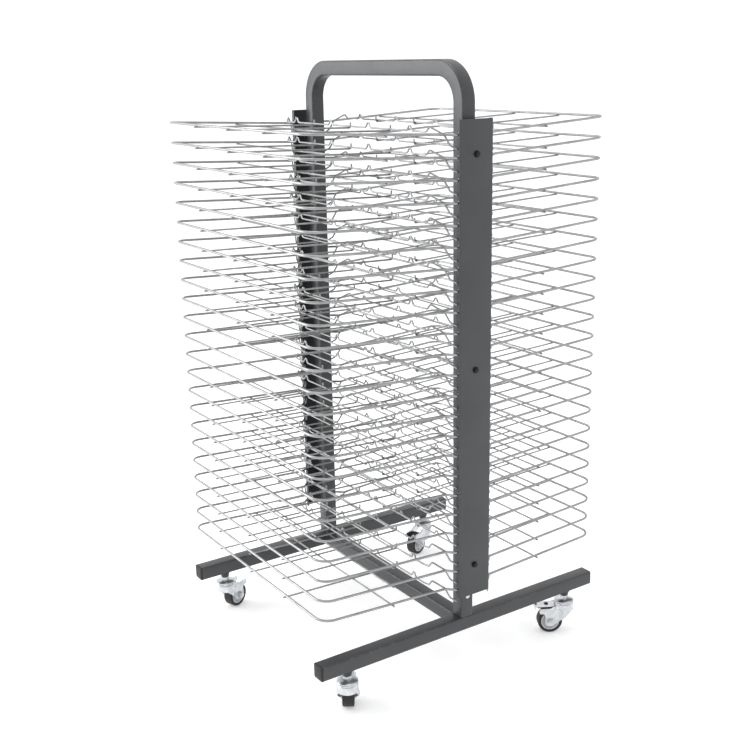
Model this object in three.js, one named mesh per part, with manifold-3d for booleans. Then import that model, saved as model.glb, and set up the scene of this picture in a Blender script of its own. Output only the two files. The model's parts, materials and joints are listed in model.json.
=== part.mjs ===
// Mobile drying rack: an inverted-U tube frame on an H-shaped base with four castors,
// a folded channel outside each post, and two banks of wire shelves that hook into the channels
// and lift about them. Millimetres, +Z up, X along the feet, Y from post to post. The origin is on
// the floor under the middle of the rack.
import * as THREE from 'three';
import { mergeVertices } from 'three/addons/utils/BufferGeometryUtils.js';
import Module from 'manifold-3d';

// Air left between two pieces that touch.
const FIT_GAP = 0.3;

// Square tube of the frame.
const TUBE = 28;
const TUBE_WALL = 1.5;
const WELD_DEPTH = 1;

// Base: two feet, one stretcher and an upright spigot for each post.
const FOOT_LENGTH = 647;
const FOOT_SPACING = 486.6;
const SPIGOT_HEIGHT = 60;
const SPIGOT_GAP = 0.6;

// Portal frame: bend radius outside, and the room left below and above the channels.
const PORTAL_BEND = 72;
const CHANNEL_CLEARANCE = 56;
const HEAD_ROOM = 96;

// Channels, with the lugs that carry them on the posts.
const CHANNEL_WIDTH = 71;
const CHANNEL_FLANGE = 10;
const CHANNEL_SHEET = 1.5;
const CHANNEL_STANDOFF = 19;
const CHANNEL_TOP_MARGIN = 25;
const CHANNEL_BOTTOM_MARGIN = 16;
const LUG_SIDE = 20;
const LUG_TOP_INSET = 57.5;
const LUG_BOTTOM_INSET = 60;
const NOTCH_DEPTH = 6.5;
const NOTCH_HEIGHT = 10;

// Shelves: their number on each side, spacing and tilt, and the lines of the wires. Lengths along a
// shelf are measured outwards from its pivot in the channel's flange.
const SHELF_COUNT = 23;
const SHELF_PITCH = 37.5;
const SHELF_TILT = 3;
const SHELF_LENGTH = 286;
const SHELF_CORNER = 25;
const WIRE = 4;
const STOP_WIRE_AT = 40;
const CROSS_WIRE_AT = 136;
const INNER_WIRE_SPACING = 128;
const ARM_JOG = 13.5;
const JOG_START = 12;
const JOG_END = 28;
const TAIL_LENGTH = 6;
const HOOK_HEIGHT = 12;

// Castors: wheel, fork, swivel head, stem and the socket under the foot.
const WHEEL_DIAMETER = 50;
const WHEEL_WIDTH = 22;
const WHEEL_RIM = 6;
const WHEEL_DISH = 2;
const WHEEL_SIDE_GAP = 1;
const WHEEL_TRAIL = 29;
const AXLE_DIAMETER = 7;
const AXLE_GAP = 0.4;
const AXLE_NUT = 14;
const AXLE_NUT_HEIGHT = 6;
const FORK_SHEET = 2;
const FORK_EYE = 10;
const BAND_DROP = 7.5;
const BAND_HEIGHT = 11;
const BAND_REACH = 23;
const HOOD_GAP = 12;
const HOOD_DIAMETER = 40;
const HOOD_DEPTH = 19;
const HOOD_BEHIND = 4;
const HEAD_RIM = 5;
const HEAD_CONE = 3;
const HEAD_TOP = 26;
const NECK_WIDTH = 17;
const NECK_HEIGHT = 6.7;
const STEM_DIAMETER = 10;
const STEM_GAP = 0.4;
const STEM_REACH = 5;
const SOCKET_HEIGHT = 11;
const SOCKET_TOP = 24;
const SOCKET_BOTTOM = 17;
const STEM_INSET = 61;

// Brake pedals, on the castors of the near foot.
const PEDAL_PIN = 3;
const PEDAL_PIN_GAP = 0.3;
const PEDAL_EYE = 6.6;
const PEDAL_SHEET = 2;
const PEDAL_PIN_BEHIND = 20.5;
const PEDAL_PIN_DROP = 7.3;
const PEDAL_LENGTH = 40;
const PEDAL_LIP = 6;
const PEDAL_SIDE_GAP = 0.6;

// Facets of round pieces.
const ROUND_SIDES = 12;
const WHEEL_SIDES = 16;
const BEND_STEPS = 4;
const CORNER_STEPS = 2;

// Heights worked out from the sizes above.
const AXLE_Z = WHEEL_DIAMETER / 2;
const HOOD_ROOF_Z = WHEEL_DIAMETER + HOOD_GAP;
const HEAD_Z = HOOD_ROOF_Z + FORK_SHEET;
const NECK_Z = HEAD_Z + HEAD_RIM + HEAD_CONE;
const SOCKET_Z = NECK_Z + NECK_HEIGHT + FIT_GAP;
const FOOT_Z = SOCKET_Z + SOCKET_HEIGHT;
const FOOT_TOP_Z = FOOT_Z + TUBE;
const CHANNEL_LENGTH = CHANNEL_TOP_MARGIN + (SHELF_COUNT - 1) * SHELF_PITCH + CHANNEL_BOTTOM_MARGIN;
const CHANNEL_Z = FOOT_TOP_Z + CHANNEL_CLEARANCE;
const CHANNEL_TOP_Z = CHANNEL_Z + CHANNEL_LENGTH;
const PORTAL_TOP_Z = CHANNEL_TOP_Z + HEAD_ROOM;
const TOP_SHELF_Z = CHANNEL_TOP_Z - CHANNEL_TOP_MARGIN;
const PEDAL_PIN_Z = HEAD_Z - PEDAL_PIN_DROP;

// Distances from the middle of the rack, worked out from the sizes above.
const FOOT_Y = FOOT_SPACING / 2;
const POST_FACE_Y = FOOT_Y + TUBE / 2;
const WEB_Y = POST_FACE_Y + CHANNEL_STANDOFF;
const FLANGE_EDGE_Y = WEB_Y + CHANNEL_SHEET - CHANNEL_FLANGE;
const TAIL_Y = FLANGE_EDGE_Y + NOTCH_DEPTH / 2;
const ARM_Y = TAIL_Y - ARM_JOG;
const PIVOT_X = (CHANNEL_WIDTH - CHANNEL_SHEET) / 2;
const STEM_X = FOOT_LENGTH / 2 - STEM_INSET;

const wasm = await Module();
wasm.setup();

// A closed three.js geometry as a solid that can be joined and cut.
function solid(geometry) {
  geometry.deleteAttribute('normal');
  geometry.deleteAttribute('uv');
  const merged = mergeVertices(geometry, 1e-4);
  const mesh = new wasm.Mesh({
    numProp: 3,
    vertProperties: new Float32Array(merged.attributes.position.array),
    triVerts: new Uint32Array(merged.index.array),
  });
  return new wasm.Manifold(mesh);
}

// The surface of a solid as a three.js geometry.
function surface(body) {
  const mesh = body.getMesh();
  const geometry = new THREE.BufferGeometry();
  geometry.setAttribute('position', new THREE.BufferAttribute(new Float32Array(mesh.vertProperties), 3));
  geometry.setIndex(new THREE.BufferAttribute(new Uint32Array(mesh.triVerts), 1));
  const flat = geometry.toNonIndexed();
  flat.computeVertexNormals();
  return flat;
}

const join = (bodies) => bodies.reduce((whole, body) => whole.add(body));

// A block given by its lowest and highest corners.
function block(low, high) {
  const size = high.map((value, i) => value - low[i]);
  const middle = high.map((value, i) => (value + low[i]) / 2);
  return solid(new THREE.BoxGeometry(...size).translate(...middle));
}

// An upright prism or cone from z to z + height, round the vertical through (x, y).
function upright(topRadius, bottomRadius, height, x, y, z, sides = ROUND_SIDES) {
  const geometry = new THREE.CylinderGeometry(topRadius, bottomRadius, height, sides);
  return solid(geometry.rotateX(Math.PI / 2).translate(x, y, z + height / 2));
}

// A round bar along Y through (x, z), with its middle at y.
function crossBar(radius, length, x, z, sides = ROUND_SIDES, y = 0) {
  return solid(new THREE.CylinderGeometry(radius, radius, length, sides).translate(x, y, z));
}

// A plane shape carried straight through a thickness that is centred on its plane.
function slab(shape, thickness, curveSegments = CORNER_STEPS) {
  const options = { depth: thickness, bevelEnabled: false, curveSegments };
  return new THREE.ExtrudeGeometry(shape, options).translate(0, 0, -thickness / 2);
}

// Turn a slab drawn in (x, z) so that its thickness lies along Y, or one drawn in (y, z) so that
// its thickness lies along X.
const facingY = (geometry) => geometry.rotateX(Math.PI / 2);
const facingX = (geometry) => geometry.rotateX(Math.PI / 2).rotateZ(Math.PI / 2);

// Finishes.
const finish = (color, roughness, metalness) =>
  new THREE.MeshStandardMaterial({ color, roughness, metalness });
const framePaint = finish(0x4a4e52, 0.5, 0.3);
const brightWire = finish(0xc4c7c9, 0.28, 0.95);
const zinc = finish(0xd4d6d8, 0.3, 0.9);
const tyreRubber = finish(0x18181a, 0.7, 0);

const rack = new THREE.Group();

function place(parent, name, geometry, material) {
  const mesh = new THREE.Mesh(geometry, material);
  mesh.name = name;
  parent.add(mesh);
  return mesh;
}

// The inverted U of the portal, from zLow up, drawn in (y, z) at a distance inside its outer face.
function portalOutline(inset, zLow) {
  const outer = POST_FACE_Y - inset;
  const inner = POST_FACE_Y - TUBE + inset;
  const outerRadius = PORTAL_BEND - inset;
  const innerRadius = PORTAL_BEND - TUBE + inset;
  const bendY = POST_FACE_Y - PORTAL_BEND;
  const bendZ = PORTAL_TOP_Z - PORTAL_BEND;
  const outline = new THREE.Shape();
  outline.moveTo(outer, zLow);
  outline.lineTo(outer, bendZ);
  outline.absarc(bendY, bendZ, outerRadius, 0, Math.PI / 2, false);
  outline.absarc(-bendY, bendZ, outerRadius, Math.PI / 2, Math.PI, false);
  outline.lineTo(-outer, zLow);
  outline.lineTo(-inner, zLow);
  outline.absarc(-bendY, bendZ, innerRadius, Math.PI, Math.PI / 2, true);
  outline.absarc(bendY, bendZ, innerRadius, Math.PI / 2, 0, true);
  outline.lineTo(inner, zLow);
  outline.closePath();
  return outline;
}

// Portal: one bent tube, open at the bottom, with three welded lugs on the outside of each post.
function portalFrame() {
  const zLow = FOOT_TOP_Z + FIT_GAP;
  const tube = solid(facingX(slab(portalOutline(0, zLow), TUBE, BEND_STEPS)));
  const boreWidth = TUBE - 2 * TUBE_WALL;
  const bore = solid(facingX(slab(portalOutline(TUBE_WALL, zLow - TUBE), boreWidth, BEND_STEPS)));
  const topLug = CHANNEL_TOP_Z - LUG_TOP_INSET;
  const bottomLug = CHANNEL_Z + LUG_BOTTOM_INSET;
  const lugs = [];
  for (const z of [topLug, (topLug + bottomLug) / 2, bottomLug]) {
    const half = LUG_SIDE / 2;
    const root = POST_FACE_Y - WELD_DEPTH;
    const tip = WEB_Y - FIT_GAP;
    lugs.push(block([-half, root, z - half], [half, tip, z + half]));
    lugs.push(block([-half, -tip, z - half], [half, -root, z + half]));
  }
  return join([tube.subtract(bore), ...lugs]);
}

// Base: feet and stretcher of tube, welded together, with spigots for the posts and stem sockets.
function baseFrame() {
  const half = TUBE / 2;
  const hollow = half - TUBE_WALL;
  const midZ = FOOT_Z + half;
  const footHalf = FOOT_LENGTH / 2;
  const spigotHalf = hollow - SPIGOT_GAP;
  const pieces = [block([-half, -FOOT_Y, FOOT_Z], [half, FOOT_Y, FOOT_TOP_Z])];
  const cuts = [block([-hollow, -FOOT_Y, midZ - hollow], [hollow, FOOT_Y, midZ + hollow])];
  for (const y of [-FOOT_Y, FOOT_Y]) {
    pieces.push(block([-footHalf, y - half, FOOT_Z], [footHalf, y + half, FOOT_TOP_Z]));
    pieces.push(
      block(
        [-spigotHalf, y - spigotHalf, FOOT_TOP_Z - WELD_DEPTH],
        [spigotHalf, y + spigotHalf, FOOT_TOP_Z + SPIGOT_HEIGHT],
      ),
    );
    cuts.push(
      block([-footHalf - TUBE, y - hollow, midZ - hollow], [footHalf + TUBE, y + hollow, midZ + hollow]),
    );
    for (const x of [-STEM_X, STEM_X]) {
      const socketHeight = SOCKET_HEIGHT + WELD_DEPTH;
      pieces.push(upright(SOCKET_TOP / 2, SOCKET_BOTTOM / 2, socketHeight, x, y, SOCKET_Z));
      const stemBore = STEM_DIAMETER / 2 + STEM_GAP;
      cuts.push(upright(stemBore, stemBore, SOCKET_HEIGHT + TUBE, x, y, SOCKET_Z - half));
    }
  }
  return join(pieces).subtract(join(cuts));
}

// Channel on the +Y side: a folded sheet, its flanges notched for the hooks of every shelf.
function channel() {
  const half = CHANNEL_WIDTH / 2;
  const back = WEB_Y + CHANNEL_SHEET;
  const sheet = block([-half, FLANGE_EDGE_Y, CHANNEL_Z], [half, back, CHANNEL_TOP_Z]);
  const room = half - CHANNEL_SHEET;
  const past = TUBE;
  const trough = block([-room, FLANGE_EDGE_Y - past, CHANNEL_Z - past], [room, WEB_Y, CHANNEL_TOP_Z + past]);
  const notches = [];
  for (let i = 0; i < SHELF_COUNT; i += 1) {
    const z = TOP_SHELF_Z - i * SHELF_PITCH;
    notches.push(
      block(
        [-half - past, FLANGE_EDGE_Y - past, z - NOTCH_HEIGHT / 2],
        [half + past, FLANGE_EDGE_Y + NOTCH_DEPTH, z + NOTCH_HEIGHT / 2],
      ),
    );
  }
  return sheet.subtract(join([trough, ...notches]));
}

// Points round an outer corner of a shelf at (u, v), from the arm to the outer wire. `side` is the
// side of the middle line that the corner lies on.
function shelfCorner(u, v, radius, side) {
  const points = [];
  for (let i = 0; i <= CORNER_STEPS; i += 1) {
    const turn = (Math.PI / 2) * (i / CORNER_STEPS);
    const alongArm = u - radius * (1 - Math.sin(turn));
    points.push(new THREE.Vector2(alongArm, side * (v - radius * (1 - Math.cos(turn)))));
  }
  return points;
}

// The line of an arm from its end in the channel to the jog's outer end, at a distance from the
// arm's centre line.
function armLine(offset, side) {
  const points = [
    [-TAIL_LENGTH, TAIL_Y + offset],
    [JOG_START, TAIL_Y + offset],
    [JOG_END, ARM_Y + offset],
  ];
  return points.map(([u, v]) => new THREE.Vector2(u, side * v));
}

// A gap between the wires from u = low to high and v = from to to, with rounded outer corners where
// it meets an arm at the outer wire.
function shelfGap(low, high, from, to) {
  const armEdge = ARM_Y - WIRE / 2;
  const atOuterWire = high === SHELF_LENGTH - WIRE;
  const radius = SHELF_CORNER - WIRE;
  const start = atOuterWire && from === -armEdge ? shelfCorner(high, -from, radius, -1) : [];
  const end = atOuterWire && to === armEdge ? shelfCorner(high, to, radius, 1).reverse() : [];
  return new THREE.Shape([
    new THREE.Vector2(low, from),
    ...(start.length ? start : [new THREE.Vector2(high, from)]),
    ...(end.length ? end : [new THREE.Vector2(high, to)]),
    new THREE.Vector2(low, to),
  ]);
}

// One shelf as a flat welded grille, drawn along u and v: a bent outer wire whose two arms end in
// the channels, a stop wire near the channels, a cross wire, three wires along the shelf, and an
// upturned hook on each arm that bears on the inside of the flange.
function shelf() {
  const half = WIRE / 2;
  const armEdge = ARM_Y - half;
  const stopEdge = STOP_WIRE_AT - half;
  const outline = new THREE.Shape([
    ...armLine(half, -1),
    ...shelfCorner(SHELF_LENGTH, ARM_Y + half, SHELF_CORNER, -1),
    ...shelfCorner(SHELF_LENGTH, ARM_Y + half, SHELF_CORNER, 1).reverse(),
    ...armLine(half, 1).reverse(),
    ...armLine(-half, 1),
    new THREE.Vector2(stopEdge, armEdge),
    new THREE.Vector2(stopEdge, -armEdge),
    ...armLine(-half, -1).reverse(),
  ]);
  const rows = [
    [STOP_WIRE_AT + half, CROSS_WIRE_AT - half],
    [CROSS_WIRE_AT + half, SHELF_LENGTH - WIRE],
  ];
  const lanes = [
    [-armEdge, -INNER_WIRE_SPACING - half],
    [-INNER_WIRE_SPACING + half, -half],
    [half, INNER_WIRE_SPACING - half],
    [INNER_WIRE_SPACING + half, armEdge],
  ];
  const gaps = [];
  for (const [low, high] of rows) {
    for (const [from, to] of lanes) gaps.push(solid(slab(shelfGap(low, high, from, to), 2 * WIRE)));
  }
  const grille = solid(slab(outline, WIRE)).subtract(join(gaps));
  const hookOuter = -CHANNEL_SHEET / 2 - FIT_GAP;
  const hooks = [-TAIL_Y, TAIL_Y].map((v) =>
    block([-TAIL_LENGTH, v - half, 0], [hookOuter, v + half, HOOK_HEIGHT]),
  );
  return join([grille, ...hooks]);
}

// Round hood over the swivel axis: a roof with a skirt round its front.
function forkHood() {
  const radius = HOOD_DIAMETER / 2;
  const low = HEAD_Z - HOOD_DEPTH;
  const inside = radius - FORK_SHEET;
  const cup = upright(radius, radius, HOOD_DEPTH, 0, 0, low, WHEEL_SIDES);
  const room = upright(inside, inside, HOOD_DEPTH, 0, 0, low - FORK_SHEET, WHEEL_SIDES);
  const rear = block([-HOOD_DIAMETER, -radius, low - FORK_SHEET], [-HOOD_BEHIND, radius, HOOD_ROOF_Z]);
  return cup.subtract(join([room, rear]));
}

// Castor fork in its own frame: the swivel axis is the vertical through the origin, and the wheel
// trails along -X. A hood with two cheeks, each with an eye for the axle and a band behind it, then
// the swivel head, hexagonal neck, stem and bolted axle, in one piece.
function castorFork(braked) {
  const gapHalf = WHEEL_WIDTH / 2 + WHEEL_SIDE_GAP;
  const outerHalf = gapHalf + FORK_SHEET;
  const hoodMiddle = (HOOD_DIAMETER - FORK_SHEET) / 2;
  const cheekFront = Math.sqrt(hoodMiddle ** 2 - outerHalf ** 2);
  const cheekTop = HOOD_ROOF_Z + FORK_SHEET / 2;
  const bandTop = HOOD_ROOF_Z - BAND_DROP;
  const bandRear = -WHEEL_TRAIL - BAND_REACH;
  const cheek = new THREE.Shape();
  cheek.moveTo(cheekFront, cheekTop);
  cheek.lineTo(-cheekFront, cheekTop);
  cheek.lineTo(-WHEEL_TRAIL, bandTop);
  cheek.lineTo(bandRear, bandTop);
  cheek.lineTo(bandRear, bandTop - BAND_HEIGHT);
  cheek.lineTo(-WHEEL_TRAIL - FORK_EYE, bandTop - BAND_HEIGHT);
  cheek.absarc(-WHEEL_TRAIL, AXLE_Z, FORK_EYE, Math.PI, Math.PI * 1.75, false);
  cheek.lineTo(cheekFront, HEAD_Z - HOOD_DEPTH);
  cheek.closePath();
  const pieces = [forkHood()];
  for (const side of [-1, 1]) {
    const plate = facingY(slab(cheek, FORK_SHEET));
    pieces.push(solid(plate.translate(0, side * (gapHalf + FORK_SHEET / 2), 0)));
    const nutHeight = AXLE_NUT_HEIGHT + WELD_DEPTH;
    const nutY = outerHalf - WELD_DEPTH + nutHeight / 2;
    pieces.push(crossBar(AXLE_NUT / 2, nutHeight, -WHEEL_TRAIL, AXLE_Z, 6, side * nutY));
  }
  const hood = HOOD_DIAMETER / 2;
  const coneZ = HEAD_Z + HEAD_RIM;
  pieces.push(upright(hood, hood, HEAD_RIM + WELD_DEPTH, 0, 0, HEAD_Z - WELD_DEPTH, WHEEL_SIDES));
  pieces.push(upright(HEAD_TOP / 2, hood, HEAD_CONE, 0, 0, coneZ, WHEEL_SIDES));
  pieces.push(upright(NECK_WIDTH / 2, NECK_WIDTH / 2, NECK_HEIGHT + WELD_DEPTH, 0, 0, NECK_Z - WELD_DEPTH, 6));
  const stemHeight = NECK_HEIGHT + FIT_GAP + SOCKET_HEIGHT + TUBE_WALL + STEM_REACH;
  pieces.push(upright(STEM_DIAMETER / 2, STEM_DIAMETER / 2, stemHeight, 0, 0, NECK_Z));
  pieces.push(crossBar(AXLE_DIAMETER / 2, 2 * outerHalf, -WHEEL_TRAIL, AXLE_Z));
  if (braked) pieces.push(crossBar(PEDAL_PIN / 2, 2 * outerHalf, -PEDAL_PIN_BEHIND, PEDAL_PIN_Z));
  return join(pieces);
}

// Wheel turned about its axle: a bored, dished centre and a thicker tread.
function castorWheel() {
  const bore = AXLE_DIAMETER / 2 + AXLE_GAP;
  const tread = WHEEL_DIAMETER / 2 / Math.cos(Math.PI / WHEEL_SIDES);
  const rim = tread - WHEEL_RIM;
  const face = WHEEL_WIDTH / 2;
  const dish = face - WHEEL_DISH;
  const half = [[bore, dish], [rim, dish], [rim, face], [tread, face]];
  const mirrored = half.map(([radius, y]) => [radius, -y]).reverse();
  const profile = [...half, ...mirrored, half[0]].reverse().map(([radius, y]) => new THREE.Vector2(radius, y));
  const turned = new THREE.LatheGeometry(profile, WHEEL_SIDES);
  const flatDown = turned.rotateY(Math.PI / WHEEL_SIDES);
  return solid(flatDown.translate(-WHEEL_TRAIL, 0, AXLE_Z));
}

// Brake pedal: a bent sheet with a knuckle that turns on the fork's pin.
function brakePedal() {
  const width = WHEEL_WIDTH + 2 * (WHEEL_SIDE_GAP - PEDAL_SIDE_GAP);
  const half = PEDAL_SHEET / 2;
  const plateZ = PEDAL_PIN_Z + PEDAL_EYE / 2 - PEDAL_SHEET;
  const pinX = -PEDAL_PIN_BEHIND;
  const tip = pinX - PEDAL_LENGTH;
  const plate = block([tip, -width / 2, plateZ], [pinX, width / 2, plateZ + PEDAL_SHEET]);
  const lip = block([tip, -width / 2, plateZ - PEDAL_LIP], [tip + PEDAL_SHEET, width / 2, plateZ + half]);
  const eye = crossBar(PEDAL_EYE / 2, width, pinX, PEDAL_PIN_Z);
  const bore = crossBar(PEDAL_PIN / 2 + PEDAL_PIN_GAP, 2 * width, pinX, PEDAL_PIN_Z);
  return join([plate, lip, eye]).subtract(bore);
}

// Frame and channels.
place(rack, 'portal_frame', surface(portalFrame()), framePaint);
place(rack, 'base_frame', surface(baseFrame()), framePaint);
const channelSurface = surface(channel());
place(rack, 'channel_far', channelSurface, framePaint);
place(rack, 'channel_near', channelSurface, framePaint).rotation.z = Math.PI;

// Two banks of like shelves, numbered from the top. The left bank is the right one turned round.
const shelfSurface = surface(shelf());
for (const [bank, turn] of [['right', 0], ['left', Math.PI]]) {
  const side = new THREE.Group();
  side.rotation.z = turn;
  rack.add(side);
  for (let i = 0; i < SHELF_COUNT; i += 1) {
    const number = String(i + 1).padStart(2, '0');
    const piece = place(side, `shelf_${bank}_${number}`, shelfSurface, brightWire);
    piece.position.set(PIVOT_X, 0, TOP_SHELF_Z - i * SHELF_PITCH);
    piece.rotation.y = -THREE.MathUtils.degToRad(SHELF_TILT);
  }
}

// Castors, each turned to its own heading: the angle from +X to the way it would roll.
const castors = [
  { name: 'near_right', x: STEM_X, y: -FOOT_Y, heading: 330, braked: true },
  { name: 'near_left', x: -STEM_X, y: -FOOT_Y, heading: 236, braked: true },
  { name: 'far_left', x: -STEM_X, y: FOOT_Y, heading: 203, braked: false },
  { name: 'far_right', x: STEM_X, y: FOOT_Y, heading: 20, braked: false },
];
const wheelSurface = surface(castorWheel());
const pedalSurface = surface(brakePedal());
for (const { name, x, y, heading, braked } of castors) {
  const castor = new THREE.Group();
  castor.position.set(x, y, 0);
  castor.rotation.z = THREE.MathUtils.degToRad(heading);
  rack.add(castor);
  place(castor, `castor_fork_${name}`, surface(castorFork(braked)), zinc);
  place(castor, `castor_wheel_${name}`, wheelSurface, tyreRubber);
  if (braked) place(castor, `brake_pedal_${name}`, pedalSurface, zinc);
}

export default rack;
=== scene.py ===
"""Looks of a mobile drying rack: two banks of lifting wire shelves on a tube portal with castors.

Metres, +Z up, X along the feet, Y from the near post to the far post, origin on the floor under the middle.
"""
import json
import math
from collections import namedtuple

import bmesh
import bpy
import numpy as np
from mathutils import Matrix, Vector


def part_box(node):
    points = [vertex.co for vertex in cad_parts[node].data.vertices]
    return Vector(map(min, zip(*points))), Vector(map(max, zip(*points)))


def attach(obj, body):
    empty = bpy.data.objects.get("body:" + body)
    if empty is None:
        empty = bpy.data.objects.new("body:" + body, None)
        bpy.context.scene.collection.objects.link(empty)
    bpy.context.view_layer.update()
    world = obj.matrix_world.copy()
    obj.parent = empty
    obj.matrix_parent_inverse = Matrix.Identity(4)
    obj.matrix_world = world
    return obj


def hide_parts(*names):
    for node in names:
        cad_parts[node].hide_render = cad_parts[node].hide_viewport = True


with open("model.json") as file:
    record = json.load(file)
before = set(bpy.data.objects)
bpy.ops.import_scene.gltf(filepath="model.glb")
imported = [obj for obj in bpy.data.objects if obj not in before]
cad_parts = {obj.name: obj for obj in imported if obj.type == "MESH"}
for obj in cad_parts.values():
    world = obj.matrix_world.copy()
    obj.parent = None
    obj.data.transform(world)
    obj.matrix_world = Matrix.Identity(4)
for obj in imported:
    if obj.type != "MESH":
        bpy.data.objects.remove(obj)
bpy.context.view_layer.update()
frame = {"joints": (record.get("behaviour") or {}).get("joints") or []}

# Camera: the view from the near left, a little above the top shelves and slightly rolled.
# Its place, turn and lens are those that line up the feet, posts, portal and channels.
CAMERA_PLACE = (-1.1873, -1.7436, 1.1423)
CAMERA_YAW = math.radians(33.615)
CAMERA_DOWN = math.radians(16.031)
CAMERA_ROLL = math.radians(-1.138)
LENS_MM = 53.24
SENSOR_MM = 36.0

scene = bpy.context.scene
camera = bpy.data.objects.new("camera", bpy.data.cameras.new("camera"))
camera.data.lens = LENS_MM
camera.data.sensor_width = SENSOR_MM
heading = Matrix.Rotation(-CAMERA_YAW, 4, "Z")
tilt = Matrix.Rotation(math.pi / 2 - CAMERA_DOWN, 4, "X")
roll = Matrix.Rotation(CAMERA_ROLL, 4, "Z")
camera.matrix_world = Matrix.Translation(CAMERA_PLACE) @ heading @ tilt @ roll
scene.collection.objects.link(camera)
scene.camera = camera
scene.view_settings.view_transform = "Standard"

# Floor and light: a plain white studio floor that glows a little, in a room that is white behind the rack and
# all round the horizon, and dimmer above behind the camera, with large soft boxes on the left and overhead.
FLOOR_REACH = 40.0
FLOOR_COLOUR = (0.92, 0.92, 0.92, 1.0)
FLOOR_GLOW = 0.25
FLOOR_SHEEN = 0.2
ROOM_BACK_WAY = (0.55, 0.83, 0.0)
ROOM_UP_WAY = (0.0, 0.0, 1.0)
ROOM_BACK = (1.0, 1.0, 1.0, 1.0)
ROOM_FRONT = (0.78, 0.78, 0.79, 1.0)
ROOM_TURNS = (0.28, 0.58)
ROOM_DIMS_ABOVE = (0.12, 0.32)
ROOM_STRENGTH = 1.13
SOFT_BOXES = {
    "soft_box_left": {"place": (-2.4, 1.9, 1.5), "size": 2.8, "power": 60.0},
    "soft_box_above": {"place": (-0.3, 0.4, 3.4), "size": 2.4, "power": 30.0},
}
SOFT_BOX_AIM = (0.0, 0.0, 0.6)

Surface = namedtuple("Surface", "points quads caps mark")
Clouds = namedtuple("Clouds", "lumps detail low high")
Span = namedtuple("Span", "least more lumps")
Grain = namedtuple("Grain", "lumps detail depth strength")

FLOOR_ROUGHNESS = Span(least=0.55, more=0.2, lumps=9.0)


class Signal:
    """A socket in a material. An operator between signals or numbers adds the Math node that works it out."""

    def __init__(self, finish, socket):
        self.finish = finish
        self.socket = socket

    def __add__(self, other):
        return self.finish.maths("ADD", self, other)

    def __radd__(self, other):
        return self.finish.maths("ADD", other, self)

    def __sub__(self, other):
        return self.finish.maths("SUBTRACT", self, other)

    def __rsub__(self, other):
        return self.finish.maths("SUBTRACT", other, self)

    def __mul__(self, other):
        return self.finish.maths("MULTIPLY", self, other)

    def __rmul__(self, other):
        return self.finish.maths("MULTIPLY", other, self)


class Finish:
    """One material: constants on its shader's own sockets, and nodes for what varies over the surface."""

    def __init__(self, name, **constants):
        self.material = bpy.data.materials.new(name)
        self.material.use_nodes = True
        self.tree = self.material.node_tree
        self.shader = self.tree.nodes["Principled BSDF"]
        for key, value in constants.items():
            self.shader.inputs[key.replace("_", " ")].default_value = value

    def node(self, kind, settings, sockets, output=0):
        """Add a node: its settings first, a ramp's stops among them, then its sockets' values or links."""
        made = self.tree.nodes.new(kind)
        for key, value in settings.items():
            if key == "stops":
                ramp = made.color_ramp
                for stop, (place, level) in zip((ramp.elements[0], ramp.elements[1]), value):
                    stop.position = place
                    stop.color = (level, level, level, 1.0)
            else:
                setattr(made, key, value)
        for key, value in sockets.items():
            self.feed(made.inputs[key], value)
        return Signal(self, made.outputs[output])

    def feed(self, socket, value):
        """Link a signal to a socket, or set the socket's own value."""
        if isinstance(value, Signal):
            self.tree.links.new(value.socket, socket)
        else:
            socket.default_value = value

    def maths(self, operation, first, second):
        """One Math node."""
        return self.node("ShaderNodeMath", {"operation": operation}, {0: first, 1: second})

    def place(self):
        """Object coordinates, in metres."""
        return self.node("ShaderNodeTexCoord", {}, {}, "Object")

    def noise(self, lumps, detail=3.0):
        """Noise from 0 to 1 with about that many lumps a metre."""
        return self.node("ShaderNodeTexNoise", {}, {"Vector": self.place(), "Scale": lumps, "Detail": detail})

    def between(self, signal, low, high):
        """A signal stretched so that low becomes 0 and high becomes 1, and cut off there."""
        stops = {"stops": ((low, 0.0), (high, 1.0))}
        return self.node("ShaderNodeValToRGB", stops, {"Fac": signal})

    def clouds(self, cloud):
        """Noise in soft patches: 0 below the cloud's low level, 1 above its high one."""
        return self.between(self.noise(cloud.lumps, cloud.detail), cloud.low, cloud.high)

    def varied(self, span):
        """A number that varies over the surface: the span's least value, and more times noise on top."""
        return span.least + span.more * self.noise(span.lumps)

    def mark(self):
        """The piece's own mark: worn corners on tube, weld heat on wire."""
        return self.node("ShaderNodeAttribute", {"attribute_name": "mark"}, {}, "Fac")

    def blend(self, share, first, second):
        """A colour that goes from the first to the second with the share. On a Mix node, these are sockets 6
        and 7, and the colour comes out of output 2."""
        return self.node("ShaderNodeMix", {"data_type": "RGBA"}, {0: share, 6: first, 7: second}, 2)

    def relief(self, grain):
        """Small relief as the shader's normal: noise as the height, times the grain's depth in metres."""
        height = self.noise(grain.lumps, grain.detail)
        sockets = {"Height": height, "Distance": grain.depth, "Strength": grain.strength}
        self.feed(self.shader.inputs["Normal"], self.node("ShaderNodeBump", {}, sockets))

    def set(self, **signals):
        """Feed the shader's sockets."""
        for key, value in signals.items():
            self.feed(self.shader.inputs[key.replace("_", " ")], value)
        return self


class Room(Finish):
    """The world as a finish, whose shader is the background."""

    def __init__(self, name):
        self.world = bpy.data.worlds.new(name)
        self.world.use_nodes = True
        self.tree = self.world.node_tree
        self.shader = self.tree.nodes["Background"]

    def facing(self, direction):
        """How far a ray into the room goes along a direction: the dot product of the two."""
        ray = self.node("ShaderNodeTexCoord", {}, {}, "Generated")
        sockets = {0: ray, 1: direction}
        return self.node("ShaderNodeVectorMath", {"operation": "DOT_PRODUCT"}, sockets, "Value")


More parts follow.
